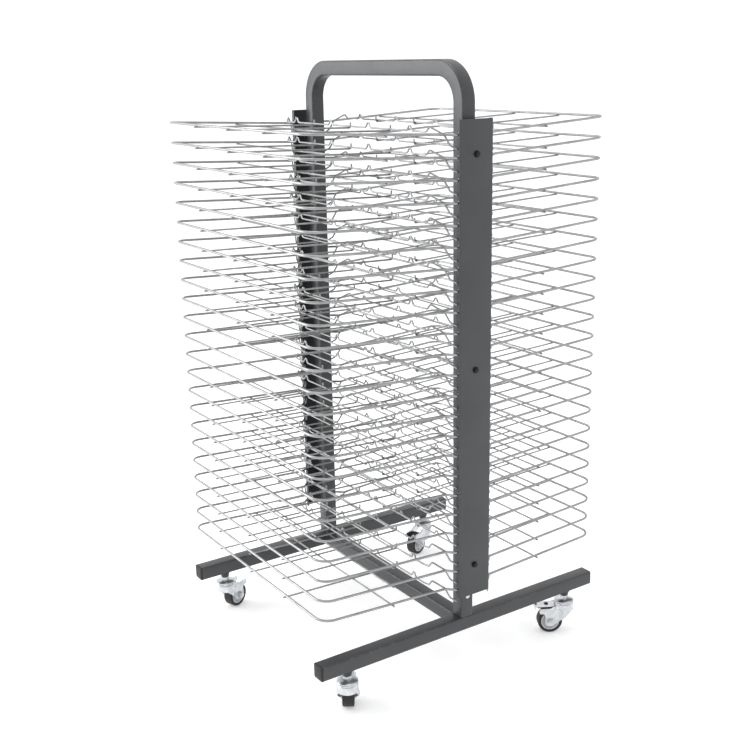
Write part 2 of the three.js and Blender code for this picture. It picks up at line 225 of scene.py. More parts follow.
def piece(name, surfaces, finish, crisp=40.0):
    """One object at the origin made of closed surfaces, smooth but for edges sharper than the crisp angle."""
    starts = np.cumsum([0] + [len(surface.points) for surface in surfaces[:-1]])
    points = np.concatenate([surface.points for surface in surfaces])
    quads = np.concatenate([surface.quads + start for surface, start in zip(surfaces, starts)])
    caps = [(cap + start).tolist() for surface, start in zip(surfaces, starts) for cap in surface.caps]
    mesh = bpy.data.meshes.new(name)
    mesh.from_pydata(points.tolist(), [], quads.tolist() + caps)
    marks = np.concatenate([np.broadcast_to(surface.mark, len(surface.points)) for surface in surfaces])
    mesh.attributes.new("mark", "FLOAT", "POINT").data.foreach_set("value", marks.astype(np.float32))
    mesh.shade_smooth()
    mesh.set_sharp_from_angle(angle=math.radians(crisp))
    mesh.materials.append(finish.material)
    made = bpy.data.objects.new(name, mesh)
    scene.collection.objects.link(made)
    return made


floor_paint = Finish("pale_floor", Base_Color=FLOOR_COLOUR, Specular_IOR_Level=FLOOR_SHEEN)
floor_paint.set(Emission_Color=ROOM_BACK, Emission_Strength=FLOOR_GLOW)
floor_paint.set(Roughness=floor_paint.varied(FLOOR_ROUGHNESS))
floor_corners = np.array([(-1, -1, 0), (1, -1, 0), (1, 1, 0), (-1, 1, 0)]) * FLOOR_REACH
piece("floor", [Surface(floor_corners, np.array([[0, 1, 2, 3]]), [], 0.0)], floor_paint)

room = Room("room")
behind = room.between(0.5 + 0.5 * room.facing(ROOM_BACK_WAY), *ROOM_TURNS)
dimmed = room.between(room.facing(ROOM_UP_WAY), *ROOM_DIMS_ABOVE) * (1 - behind)
room.set(Color=room.blend(dimmed, ROOM_BACK, ROOM_FRONT), Strength=ROOM_STRENGTH)
scene.world = room.world
for name, box in SOFT_BOXES.items():
    lamp = bpy.data.lights.new(name, "AREA")
    lamp.shape = "DISK"
    lamp.size = box["size"]
    lamp.energy = box["power"]
    lit = bpy.data.objects.new(name, lamp)
    aim = Vector(SOFT_BOX_AIM) - Vector(box["place"])
    lit.matrix_world = Matrix.Translation(box["place"]) @ aim.to_track_quat("-Z", "Y").to_matrix().to_4x4()
    scene.collection.objects.link(lit)

# Base frame: two feet and a stretcher of square steel tube, welded into an H under one satin grey
# powder coat, with a spigot that each post slips over and a flared castor socket under each foot end.
TUBE = 0.028
TUBE_CORNER = 0.0036
TUBE_CORNER_STEPS = 4
SPIGOT_SIDE = 0.0238
SPIGOT_CORNER = 0.0018
SPIGOT_ROOT = 0.001
CAP_RIM = 0.0036
SOCKET_HEIGHT = 0.011
SOCKET_FOOT = 0.0085
SOCKET_FLARE = 0.0040
SOCKET_BORE = 0.0054
SOCKET_EDGE = 0.0004
SOCKET_CURVE = 2.2
SOCKET_STEPS = 8
WELD_BEAD = 0.0021
WELD_SIDES = 8
WELD_CORNER_STEPS = 12
WELD_RIPPLES = 46
WELD_RIPPLE_STEPS = 4
WELD_RIPPLE_SHARE = 0.14
ROUND_SIDES = 24
PAINT_DARK = (0.021, 0.0235, 0.026, 1.0)
PAINT_LIGHT = (0.029, 0.032, 0.035, 1.0)
PAINT_RUBBED = (0.090, 0.094, 0.098, 1.0)
PAINT_SHEEN = 0.65
PAINT_CLOUDS = Clouds(lumps=14.0, detail=3.0, low=0.3, high=0.7)
PAINT_RUBS = Clouds(lumps=160.0, detail=4.0, low=0.52, high=0.68)
PAINT_RUBS_LIGHTER = 0.55
PAINT_RUBS_SMOOTHER = 0.08
PAINT_ROUGHNESS = Span(least=0.30, more=0.14, lumps=45.0)
PAINT_GRAIN = Grain(lumps=950.0, detail=2.0, depth=0.00012, strength=0.35)

ALONG_X = np.array([1.0, 0.0, 0.0])
ALONG_Y = np.array([0.0, 1.0, 0.0])
ALONG_Z = np.array([0.0, 0.0, 1.0])

powder_coat = Finish("grey_powder_coat", Metallic=0.0, Specular_IOR_Level=PAINT_SHEEN)
rubbed = powder_coat.mark() * powder_coat.clouds(PAINT_RUBS)
coat = powder_coat.blend(powder_coat.clouds(PAINT_CLOUDS), PAINT_DARK, PAINT_LIGHT)
powder_coat.set(Base_Color=powder_coat.blend(PAINT_RUBS_LIGHTER * rubbed, coat, PAINT_RUBBED))
powder_coat.set(Roughness=powder_coat.varied(PAINT_ROUGHNESS) - PAINT_RUBS_SMOOTHER * rubbed)
powder_coat.relief(PAINT_GRAIN)


def carried(profile, centres, across, upward, closed=False, mark=0.0):
    """A profile carried along a path: ring i is centre_i + a * across_i + b * upward_i over the profile's
    points (a, b). Quads join each ring to the next, and a flat face closes each end of an open path."""
    profile = np.broadcast_to(profile, (len(centres),) + np.shape(profile)[-2:])
    across = np.broadcast_to(across, centres.shape)
    upward = np.broadcast_to(upward, centres.shape)
    rings = centres[:, None] + profile[..., :1] * across[:, None] + profile[..., 1:] * upward[:, None]
    count, sides = rings.shape[:2]
    side = np.arange(sides)
    after = np.roll(side, -1)
    ring = np.arange(count if closed else count - 1)[:, None]
    near = ring * sides
    far = (ring + 1) % count * sides
    quads = np.stack([near + side, near + after, far + after, far + side], -1).reshape(-1, 4)
    caps = [] if closed else [side[::-1], (count - 1) * sides + side]
    return Surface(rings.reshape(-1, 3), quads, caps, np.broadcast_to(mark, (count, sides)).reshape(-1))


def rounded_bar(half_a, half_b, corner, steps=TUBE_CORNER_STEPS):
    """Outline of a bar with rounded corners: in each quadrant in turn, a quarter circle about
    (+-(half_a - corner), +-(half_b - corner))."""
    quadrant = np.arange(4)[:, None] * math.pi / 2
    turn = quadrant + np.linspace(0.0, math.pi / 2, steps + 1)
    side_a = np.array([1, -1, -1, 1])[:, None] * (half_a - corner)
    side_b = np.array([1, 1, -1, -1])[:, None] * (half_b - corner)
    return np.stack([side_a + corner * np.cos(turn), side_b + corner * np.sin(turn)], -1).reshape(-1, 2)


def corner_marks(steps=TUBE_CORNER_STEPS):
    """A mark of 1 on the points inside each rounded corner of a bar and 0 where its flats begin."""
    return np.tile(np.r_[0.0, np.ones(steps - 1), 0.0], 4)


def unit(vectors):
    """Vectors cut to a length of 1."""
    return vectors / np.linalg.norm(vectors, axis=-1, keepdims=True)


def straight_bar(start, end, across, half_a, half_b, corner, mark=0.0):
    """A rounded bar from start to end: across is the way of its first half width."""
    centres = np.array([start, end], float)
    along = unit(centres[1] - centres[0])
    return carried(rounded_bar(half_a, half_b, corner), centres, across, np.cross(along, across), mark=mark)


def tube(start, end, across):
    """A straight length of the frame's square tube."""
    return straight_bar(start, end, across, TUBE / 2, TUBE / 2, TUBE_CORNER, corner_marks())


def circle(sides=ROUND_SIDES):
    """The unit circle in even steps."""
    turn = np.arange(sides) * 2 * math.pi / sides
    return np.stack([np.cos(turn), np.sin(turn)], -1)


def turned(outline, middle, axis=ALONG_Z, aside=ALONG_X, section=None):
    """A shape turned about an axis: for each outline point (radius, height), the unit section times the
    radius, that height along the axis from the middle."""
    outline = np.array(outline, float)
    section = circle() if section is None else section
    centres = np.asarray(middle, float) + outline[:, 1:] * axis
    return carried(outline[:, :1, None] * section, centres, aside, np.cross(axis, aside))


def ring_turned(loop, middle, axis, aside, sides):
    """A closed outline (radius, height) carried once round an axis: radius along cos t * aside +
    sin t * (aside turned back about the axis), height along the axis."""
    turn = np.arange(sides)[:, None] * 2 * math.pi / sides
    radial = np.cos(turn) * aside + np.sin(turn) * np.cross(aside, axis)
    centres = np.broadcast_to(np.asarray(middle, float), radial.shape)
    return carried(np.asarray(loop, float), centres, radial, axis, closed=True)


def weld_bead(middle, outward):
    """A rippled bead round the end of a tube: a circle of radius bead * (1 + share * sin(ripples * t)) along
    the tube's rounded outline, square to the outward direction."""
    outline = rounded_bar(TUBE / 2, TUBE / 2, TUBE_CORNER, WELD_CORNER_STEPS)
    spaced = np.linspace(0.0, 1.0, WELD_RIPPLE_STEPS * WELD_RIPPLES, endpoint=False)
    stretch = np.linalg.norm(np.roll(outline, -1, 0) - outline, axis=1)
    reach = np.r_[0.0, np.cumsum(stretch)] / stretch.sum()
    looped = np.concatenate([outline, outline[:1]])
    path = np.stack([np.interp(spaced, reach, looped[:, 0]), np.interp(spaced, reach, looped[:, 1])], -1)
    centres = np.asarray(middle) + path[:, :1] * ALONG_X + path[:, 1:] * np.cross(outward, ALONG_X)
    sideways = np.cross(unit(np.roll(centres, -1, 0) - np.roll(centres, 1, 0)), outward)
    radius = WELD_BEAD * (1 + WELD_RIPPLE_SHARE * np.sin(2 * math.pi * WELD_RIPPLES * spaced))
    return carried(radius[:, None, None] * circle(WELD_SIDES), centres, outward, sideways, closed=True)


def corners_of(node):
    """A CAD node's lowest and highest corners."""
    return (np.array(corner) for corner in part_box(node))


def joints_of(motion):
    """The joints of one motion, by the rest of their names."""
    start = motion + "_"
    found = [joint for joint in frame["joints"] if joint["name"].startswith(start)]
    return {joint["name"].removeprefix(start): joint for joint in found}


base_low, base_high = corners_of("base_frame")
foot_y = base_high[1] - TUBE / 2
socket_z = base_low[2]
foot_z = socket_z + SOCKET_HEIGHT + TUBE / 2
foot_top_z = foot_z + TUBE / 2
foot_end = base_high[0] - CAP_RIM
swivels = joints_of("swivel")

base_surfaces = [tube((0, -foot_y, foot_z), (0, foot_y, foot_z), ALONG_X)]
for side in (-1, 1):
    y = side * foot_y
    inner_face = y - side * TUBE / 2
    base_surfaces.append(tube((-foot_end, y, foot_z), (foot_end, y, foot_z), ALONG_Y))
    base_surfaces.append(weld_bead((0, inner_face, foot_z), side * ALONG_Y))
    root = (0, y, foot_top_z - SPIGOT_ROOT)
    top = (0, y, base_high[2])
    base_surfaces.append(straight_bar(root, top, ALONG_X, SPIGOT_SIDE / 2, SPIGOT_SIDE / 2, SPIGOT_CORNER))
flare = np.linspace(0.0, 1.0, SOCKET_STEPS + 1)
socket_wall = np.stack([SOCKET_FOOT + SOCKET_FLARE * flare**SOCKET_CURVE, SOCKET_HEIGHT * flare], -1)
socket_wall[0, 1] = SOCKET_EDGE
socket_bore = [(SOCKET_BORE, SOCKET_HEIGHT), (SOCKET_BORE, 0.0), (SOCKET_FOOT - SOCKET_EDGE, 0.0)]
socket_outline = np.concatenate([socket_bore, socket_wall])
for joint in swivels.values():
    middle = (joint["pos_m"][0], joint["pos_m"][1], socket_z)
    base_surfaces.append(ring_turned(socket_outline, middle, ALONG_Z, ALONG_X, ROUND_SIDES))
base = piece("welded_base", base_surfaces, powder_coat)
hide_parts("base_frame")
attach(base, "rack_frame")

# End caps: black moulded plugs pressed into the open ends of the feet. A thin rim sits on the cut tube
# and a slightly domed face closes it.
CAP_BULGE = 0.0009
CAP_EDGE = 0.0006
CAP_PLUG = 0.012
CAP_INSET = 0.0018
CAP_DOME = ((2 / 3, 1 / 3), (1 / 4, 0.0))
CAP_COLOUR = (0.007, 0.007, 0.008, 1.0)
CAP_FACE = (0.016, 0.017, 0.018, 1.0)
CAP_SHEEN = 0.3
CAP_CLOUDS = Clouds(lumps=60.0, detail=3.0, low=0.35, high=0.65)
CAP_ROUGHNESS = Span(least=0.42, more=0.2, lumps=220.0)
CAP_GRAIN = Grain(lumps=1400.0, detail=1.0, depth=0.0001, strength=0.3)

cap_plastic = Finish("black_cap_plastic", Specular_IOR_Level=CAP_SHEEN)
cap_plastic.set(Base_Color=cap_plastic.blend(cap_plastic.clouds(CAP_CLOUDS), CAP_COLOUR, CAP_FACE))
cap_plastic.set(Roughness=cap_plastic.varied(CAP_ROUGHNESS))
cap_plastic.relief(CAP_GRAIN)


def end_cap(x, y):
    """A plug, a rim as wide as the tube and a face that bulges: rounded squares of half width h(s) at the
    distance d(s) out of the tube's cut end. The dome's rings are shares of the tube's half width, and of
    the bulge by which they lie below its top."""
    out = math.copysign(1.0, x)
    half = TUBE / 2
    inside = half - CAP_INSET
    rim = CAP_RIM - CAP_BULGE
    dome, below = np.array(CAP_DOME).T
    halves = np.r_[inside, inside, half, half, half - CAP_EDGE, half * dome]
    reach = np.r_[-CAP_PLUG, 0.0, 0.0, rim - CAP_EDGE, rim, CAP_RIM - CAP_BULGE * below]
    rings = np.stack([rounded_bar(ring, ring, TUBE_CORNER * ring / half) for ring in halves])
    centres = np.array([x, y, foot_z]) + reach[:, None] * out * ALONG_X
    return carried(rings, centres, ALONG_Y, out * ALONG_Z)


for name, joint in swivels.items():
    x = math.copysign(foot_end, joint["pos_m"][0])
    cap = piece("end_cap_" + name, [end_cap(x, joint["pos_m"][1])], cap_plastic)
    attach(cap, "rack_frame")

# Portal frame: one length of the same tube bent twice into an inverted U, slipped over the spigots.
# Three square lugs welded on the outside of each post carry its channel.
PORTAL_BEND = 0.072
PORTAL_BEND_STEPS = 20
LUG_SIDE = 0.020
LUG_CORNER = 0.0012
LUG_ROOT = 0.001
LUG_TOP_INSET = 0.0575
LUG_BOTTOM_INSET = 0.060


def bent_line(corners, radii, steps):
    """A line through corners, each rounded by an arc: its centre lies on the corner's bisector at
    radius / sin(half the corner's angle), and its points turn evenly from one straight to the next."""
    corners = np.array(corners, float)
    line = [corners[:1]]
    for before, corner, after, radius in zip(corners, corners[1:], corners[2:], radii):
        back = unit(before - corner)
        on = unit(after - corner)
        half = math.acos(float(np.clip(back @ on, -1.0, 1.0))) / 2
        inwards = unit(back + on)
        turn = np.linspace(half - math.pi / 2, math.pi / 2 - half, steps + 1)[:, None]
        centre = corner + inwards * radius / math.sin(half)
        line.append(centre + radius * (np.sin(turn) * unit(on - back) - np.cos(turn) * inwards))
    return np.concatenate(line + [corners[-1:]])


def headings(line):
    """The direction of a line at each of its points: the step from the point before to the point after."""
    return unit(np.gradient(line, axis=0))


portal_low, portal_high = corners_of("portal_frame")
channel_low, channel_high = corners_of("channel_far")
beam_z = portal_high[2] - TUBE / 2
post_face_y = foot_y + TUBE / 2
portal_corners = [
    (0, -foot_y, portal_low[2]),
    (0, -foot_y, beam_z),
    (0, foot_y, beam_z),
    (0, foot_y, portal_low[2]),
]
portal_line = bent_line(portal_corners, [PORTAL_BEND - TUBE / 2] * 2, PORTAL_BEND_STEPS)
portal_section = rounded_bar(TUBE / 2, TUBE / 2, TUBE_CORNER)
portal_upward = np.cross(headings(portal_line), ALONG_X)
portal_surfaces = [carried(portal_section, portal_line, ALONG_X, portal_upward, mark=corner_marks())]
lug_top = channel_high[2] - LUG_TOP_INSET
lug_bottom = channel_low[2] + LUG_BOTTOM_INSET
lug_heights = (lug_top, (lug_top + lug_bottom) / 2, lug_bottom)
for side in (-1, 1):
    for z in lug_heights:
        root = (0, side * (post_face_y - LUG_ROOT), z)
        tip = (0, side * portal_high[1], z)
        portal_surfaces.append(straight_bar(root, tip, ALONG_X, LUG_SIDE / 2, LUG_SIDE / 2, LUG_CORNER))
portal = piece("bent_portal", portal_surfaces, powder_coat)
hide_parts("portal_frame")
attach(portal, "rack_frame")

# Post bolts: small dome-headed steel bolts with a bright plating, one in the outside of each post. Each goes
# through the tube into the spigot inside it and so holds the portal on the base.
POST_BOLT_ABOVE_FOOT = 0.042
POST_BOLT_OUTLINE = ((0.0046, -0.001), (0.0046, 0.0006), (0.0042, 0.0016), (0.0031, 0.0026), (0.0016, 0.0031))
BOLT_COLOUR = (0.62, 0.63, 0.64, 1.0)
BOLT_ROUGHNESS = Span(least=0.16, more=0.18, lumps=700.0)

bright_plate = Finish("bright_plated_bolt", Base_Color=BOLT_COLOUR, Metallic=1.0)
bright_plate.set(Roughness=bright_plate.varied(BOLT_ROUGHNESS))
for side, name in ((-1, "near"), (1, "far")):
    middle = (0, side * post_face_y, foot_top_z + POST_BOLT_ABOVE_FOOT)
    bolt = piece("post_bolt_" + name, [turned(POST_BOLT_OUTLINE, middle, side * ALONG_Y)], bright_plate)
    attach(bolt, "rack_frame")

# Channels: a strip of 1.5 mm steel folded into a shallow U outside each post and powder coated with the
# frame. Each flange has one punched notch a shelf, which takes the hook of that shelf's arm.
SHEET = 0.0015
FOLD = 0.0026
FOLD_STEPS = 5
NOTCH_DEPTH = 0.0065
NOTCH_HEIGHT = 0.010
MERGE_REACH = 1e-6
CHANNEL_CRISP = 30.0


def folded_channel(notch_heights):
    """A U section carried up Z whose flange edge steps back by the notch depth between z - h / 2 and
    z + h / 2 of every notch. At both ends of a notch two rings lie at one height."""
    half = channel_high[0]
    back = channel_high[1]
    edge = channel_low[1]
    notched = edge + NOTCH_DEPTH
    turn = np.linspace(0.0, math.pi / 2, FOLD_STEPS + 1)
    outer = np.stack([half - FOLD + FOLD * np.cos(turn), back - FOLD + FOLD * np.sin(turn)], -1)
    inner_fold = FOLD - SHEET
    inner = np.stack([half - FOLD + inner_fold * np.cos(turn), back - FOLD + inner_fold * np.sin(turn)], -1)
    flange = np.array([(half - SHEET, notched), (half - SHEET, edge), (half, edge), (half, notched)])
    right = np.concatenate([inner[::-1], flange, outer])
    left = right[::-1] * (-1, 1)
    profile = np.concatenate([right, left])
    at_edge = profile[:, 1] == edge
    step = NOTCH_HEIGHT / 2
    steps = np.sort(notch_heights)[:, None] + np.array([-step, -step, step, step])
    heights = np.r_[channel_low[2], steps.reshape(-1), channel_high[2]]
    is_notch = np.r_[False, np.tile([False, True, True, False], len(notch_heights)), False]
    profiles = np.repeat(profile[None], len(heights), 0)
    profiles[..., 1] = np.where(is_notch[:, None] & at_edge, notched, profiles[..., 1])
    return carried(profiles, heights[:, None] * ALONG_Z, ALONG_X, ALONG_Y)


def merged(made):
    """Merge the points of an object that lie on each other, which drops the faces without area."""
    cleaned = bmesh.new()
    cleaned.from_mesh(made.data)
    bmesh.ops.remove_doubles(cleaned, verts=cleaned.verts, dist=MERGE_REACH)
    cleaned.to_mesh(made.data)
    cleaned.free()
    made.data.set_sharp_from_angle(angle=math.radians(CHANNEL_CRISP))
    return made


lifts = joints_of("lift")
shelf_heights = np.array([joint["pos_m"][2] for name, joint in lifts.items() if name.startswith("right")])
far_channel = folded_channel(shelf_heights)
for name, turn in (("far", 1.0), ("near", -1.0)):
    surface = far_channel._replace(points=far_channel.points * (turn, turn, 1.0))
    channel = merged(piece("folded_channel_" + name, [surface], powder_coat))
    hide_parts("channel_" + name)
    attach(channel, "rack_frame")

# Channel bolts: black dome-headed bolts on plain washers, three down the middle of each channel's web,
# each screwed into a lug of the post.
WASHER_OUTLINE = ((0.0060, -0.0004), (0.0060, 0.0008), (0.0057, 0.0011), (0.0040, 0.0011))
DOME_OUTLINE = (
    (0.0051, 0.0008),
    (0.0051, 0.0024),
    (0.0048, 0.0038),
    (0.0039, 0.0050),
    (0.0025, 0.0057),
    (0.0010, 0.0060),
)
BLACK_BOLT = (0.0025, 0.0025, 0.003, 1.0)
BLACK_BOLT_WORN = (0.008, 0.008, 0.008, 1.0)
BLACK_BOLT_SHEEN = 0.35
BLACK_BOLT_WEAR = Clouds(lumps=420.0, detail=3.0, low=0.45, high=0.75)
BLACK_BOLT_ROUGHNESS = Span(least=0.3, more=0.25, lumps=600.0)

black_bolt = Finish("black_bolt", Metallic=0.0, Specular_IOR_Level=BLACK_BOLT_SHEEN)
bolt_wear = black_bolt.clouds(BLACK_BOLT_WEAR)
black_bolt.set(Base_Color=black_bolt.blend(bolt_wear, BLACK_BOLT, BLACK_BOLT_WORN))
black_bolt.set(Roughness=black_bolt.varied(BLACK_BOLT_ROUGHNESS))
for side, name in ((-1, "near"), (1, "far")):
    for number, z in enumerate(lug_heights, 1):
        middle = (0, side * channel_high[1], z)
        heads = [turned(outline, middle, side * ALONG_Y) for outline in (WASHER_OUTLINE, DOME_OUTLINE)]
        bolt = piece(f"channel_bolt_{name}_{number}", heads, black_bolt)
        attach(bolt, "rack_frame")

# Wire shelves: bright plated round wire, spot welded. A thick wire bent into a U makes the outer edge and
# the two arms, which hook into the flanges' notches. Thin wires run along and across it, and the stop wire
# near the channels has raised humps and ends that go down beside the arms as legs.
SHELF_TILT = math.radians(3.0)
SHELF_LENGTH = 0.286
SHELF_CORNER = 0.025
ARM_Y = 0.25755
HOOK_Y = 0.27105
EDGE_WIRE = 0.0023
GRID_WIRE = 0.0016
STUB = 0.0042
STOP_WIRE_AT = 0.040
CROSS_WIRE_AT = 0.136
GRID_SPACING = 0.128
GRID_WIRES_AT = (-GRID_SPACING, 0.0, GRID_SPACING)
GRID_SINK = 0.0003
GRID_TURNS = (0.003, 0.05)
GRID_BEND_STEPS = 5
HUMPS_AT = (-0.18912, -0.06304, 0.06304, 0.18912)
HUMP_HEIGHT = 0.0095
HUMP_HALF = 0.0085
STOP_RINGS = 121
LEG_CORNERS = (
    (0.0400, 0.2200, 0.0036),
    (0.0370, 0.2330, 0.0036),
    (0.0330, 0.2360, 0.0118),
    (0.0165, 0.2543, 0.0000),
    (0.0095, 0.2625, -0.0170),
    (0.0014, 0.2712, -0.0235),
)
LEG_TURNS = (0.0026, 0.0030, 0.0080, 0.0080)
LEG_BEND_STEPS = 6
LEG_BESIDE_ARM = (0.0170, 0.2556, 0.0)
JOG_START = 0.0040
JOG_END = 0.0170
JOG_BEND = 0.006
HOOK_HEIGHT = 0.012
HOOK_INSIDE = 0.0035
HOOK_BEND = 0.003
EDGE_SIDES = 12
EDGE_BEND_STEPS = 8
GRID_SIDES = 8
WIRE_END_TURNS = (30.0, 62.0)
WIRE_END_DOME = 0.5
WIRE_CRISP = 50.0
NUGGET = 0.0021
NUGGET_FLATTENED = 0.8
NUGGET_RISES = (-70.0, -25.0, 25.0, 70.0)
NUGGET_SIDES = 6
HEAT_REACH = 0.006
WIRE_BRIGHT = (0.37, 0.375, 0.38, 1.0)
WIRE_DULL = (0.29, 0.295, 0.305, 1.0)
WIRE_HEAT = (0.18, 0.163, 0.147, 1.0)
WIRE_PATCHES = Clouds(lumps=38.0, detail=3.0, low=0.35, high=0.7)
WIRE_HEAT_SPECKS = Clouds(lumps=500.0, detail=3.0, low=0.3, high=0.7)
WIRE_HEAT_DARKER = 0.7
WIRE_ROUGH = 0.28
WIRE_DULL_ROUGHER = 0.12
WIRE_HEAT_ROUGHER = 0.2
WIRE_GRAIN = Grain(lumps=800.0, detail=2.0, depth=0.00006, strength=0.25)

plated_wire = Finish("bright_plated_wire", Metallic=1.0)
patchy = plated_wire.clouds(WIRE_PATCHES)
heat = plated_wire.mark() * plated_wire.clouds(WIRE_HEAT_SPECKS)
plated = plated_wire.blend(patchy, WIRE_BRIGHT, WIRE_DULL)
plated_wire.set(Base_Color=plated_wire.blend(WIRE_HEAT_DARKER * heat, plated, WIRE_HEAT))
plated_wire.set(Roughness=WIRE_ROUGH + WIRE_DULL_ROUGHER * patchy + WIRE_HEAT_ROUGHER * heat)
plated_wire.relief(WIRE_GRAIN)


def wire(line, radius, aside, sides=GRID_SIDES):
    """Round wire along a line: circles square to it, with two smaller circles at radius * cos a, half of
    radius * sin a further out, that close each end in a shallow dome. aside is never along the line."""
    forward = headings(line)
    dome = np.radians(WIRE_END_TURNS)
    reach = WIRE_END_DOME * radius * np.sin(dome)[:, None]
    centres = np.concatenate([line[0] - (reach * forward[0])[::-1], line, line[-1] + reach * forward[-1]])
    ways = np.concatenate([forward[:1], forward[:1], forward, forward[-1:], forward[-1:]])
    size = radius * np.r_[np.cos(dome)[::-1], np.ones(len(line)), np.cos(dome)]
    across = unit(aside - (ways @ aside)[:, None] * ways)
    return carried(size[:, None, None] * circle(sides), centres, across, np.cross(ways, across))


def edge_wire():
    """Thick wire: from a hook's tip down to the notch, out along the arm, round the outer edge and back."""
    outer = SHELF_LENGTH - EDGE_WIRE
    half = [
        (-HOOK_INSIDE, -HOOK_Y, HOOK_HEIGHT),
        (-HOOK_INSIDE, -HOOK_Y, 0.0),
        (JOG_START, -HOOK_Y, 0.0),
        (JOG_END, -ARM_Y, 0.0),
        (outer, -ARM_Y, 0.0),
    ]
    other = [(u, -v, w) for u, v, w in half[::-1]]
    turns = [HOOK_BEND, JOG_BEND, JOG_BEND, SHELF_CORNER]
    aslant = unit(ALONG_X + ALONG_Y + ALONG_Z)
    return wire(bent_line(half + other, turns + turns[::-1], EDGE_BEND_STEPS), EDGE_WIRE, aslant, EDGE_SIDES)


def grid_wire(v):
    """Thin wire along the shelf: under the outer edge, over the cross wire, under the stop wire, with its
    inner end turned up behind the stop wire."""
    drop = EDGE_WIRE + GRID_WIRE - GRID_SINK
    rise = drop - 2 * GRID_WIRE + GRID_SINK
    outer = SHELF_LENGTH + STUB - EDGE_WIRE
    slope = (drop + rise) / (SHELF_LENGTH - EDGE_WIRE - STOP_WIRE_AT)
    end = STOP_WIRE_AT - 2 * GRID_WIRE
    corners = [
        (end, v, rise + HUMP_HEIGHT),
        (end, v, rise),
        (CROSS_WIRE_AT, v, rise - slope * (CROSS_WIRE_AT - STOP_WIRE_AT)),
        (outer, v, -drop - slope * STUB),
    ]
    return wire(bent_line(corners, GRID_TURNS, GRID_BEND_STEPS), GRID_WIRE, ALONG_Y)


def cross_wire():
    """Thin straight wire under both arms, with a stub past each."""
    drop = EDGE_WIRE + GRID_WIRE - GRID_SINK
    reach = ARM_Y + STUB
    line = np.array([(CROSS_WIRE_AT, -reach, -drop), (CROSS_WIRE_AT, reach, -drop)])
    return wire(line, GRID_WIRE, ALONG_X)


def stop_wire():
    """Thin wire: w = top + height * (1 + cos(pi * d)) / 2 within d < 1 half widths of the middle of each
    lane between the long wires, and at each end a last hump, then down beside the arm as a leg."""
    leg = bent_line(LEG_CORNERS, LEG_TURNS, LEG_BEND_STEPS)
    reach = leg[0, 1] - HUMP_HALF / 2
    v = np.linspace(-reach, reach, STOP_RINGS)
    off = np.clip(np.abs(v[:, None] - HUMPS_AT).min(1) / HUMP_HALF, 0.0, 1.0)
    w = leg[0, 2] + HUMP_HEIGHT * (1 + np.cos(math.pi * off)) / 2
    humps = np.stack([np.full_like(v, STOP_WIRE_AT), v, w], -1)
    return wire(np.concatenate([leg[::-1] * (1, -1, 1), humps, leg]), GRID_WIRE, ALONG_X)


def weld_nuggets():
    """A flattened lump where two wires cross: radius * (cos a, sin a) turned about the shelf's normal."""
    rise = np.radians(NUGGET_RISES)
    outline = NUGGET * np.stack([np.cos(rise), NUGGET_FLATTENED * np.sin(rise)], -1)
    low = -EDGE_WIRE - GRID_SINK
    spots = [(SHELF_LENGTH - EDGE_WIRE, v, low) for v in GRID_WIRES_AT]
    spots += [(CROSS_WIRE_AT, side * ARM_Y, low) for side in (-1, 1)]
    spots += [np.array(LEG_BESIDE_ARM) * (1, side, 1) for side in (-1, 1)]
    return [turned(outline, spot, section=circle(NUGGET_SIDES)) for spot in spots]


def shelf_surfaces():
    """The wires of one shelf about its pivot: u outwards, v along Y and w up, with weld heat as the mark,
    exp(-(d / reach)^2) at a distance d from the nearest crossing."""
    wires = [edge_wire(), cross_wire(), stop_wire()]
    wires += [grid_wire(v) for v in GRID_WIRES_AT]
    wires += weld_nuggets()
    across = np.array([-ARM_Y, *GRID_WIRES_AT, ARM_Y])
    along = np.array([STOP_WIRE_AT, CROSS_WIRE_AT, SHELF_LENGTH - EDGE_WIRE])
    crossings = np.stack(np.meshgrid(along, across), -1).reshape(-1, 2)
    heated = []
    for surface in wires:
        off = np.linalg.norm(surface.points[:, None, :2] - crossings, axis=2).min(1)
        heated.append(surface._replace(mark=np.exp(-((off / HEAT_REACH) ** 2))))
    return heated


tilted = np.array(Matrix.Rotation(-SHELF_TILT, 3, "Y"))
one_shelf = [surface._replace(points=surface.points @ tilted.T) for surface in shelf_surfaces()]
for name, joint in lifts.items():
    pivot = np.array(joint["pos_m"])
    turn = np.array([math.copysign(1.0, pivot[0])] * 2 + [1.0])
    placed = [surface._replace(points=surface.points * turn + pivot) for surface in one_shelf]
    shelf = piece("wire_shelf_" + name, placed, plated_wire, WIRE_CRISP)
    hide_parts("shelf_" + name)
    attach(shelf, "shelf_" + name)

# Castor forks: one pressing of 2 mm zinc-plated steel, a round hood whose sides run back as two cheeks with
# an eye for the axle and a band behind it. A swivel head with a conical top is riveted on the hood, and a
# hexagonal neck, a plain stem up the socket and a bolted axle complete it.
FORK_SHEET = 0.002
FORK_EDGE = 0.0004
FORK_EDGE_ANGLE = 50.0
FORK_EDGE_STEPS = 2
CHEEK_Y = 0.013
HOOD_RADIUS = 0.019
HOOD_LOW_Z = 0.0485
HOOD_ROOF_Z = 0.063
HOOD_SHOULDER = 0.003
HOOD_BEHIND = 0.013
CHEEK_STRAIGHT = 0.018
CHEEK_MEETS_HOOD = 0.004
BAND_TOP_Z = 0.0545
BAND_REAR = 0.052
BAND_CORNER = 0.003
BAND_STEP = (-0.031, -0.020)
CHEEK_EDGE = (
    (-0.0520, 0.0465),
    (-0.0520, 0.0435),
    (-0.0405, 0.0425),
    (-0.0392, 0.0152),
    (-0.0225, 0.0152),
    (0.0115, 0.0485),
    (0.0134, 0.0485),
)
CHEEK_EDGE_TURNS = (0.0028, 0.0030, 0.0080, 0.0095, 0.0060)
EDGE_STEPS = 7
EDGE_SPACING = 0.0016
FRONT_STEPS = 14
WALL_ROWS = 9
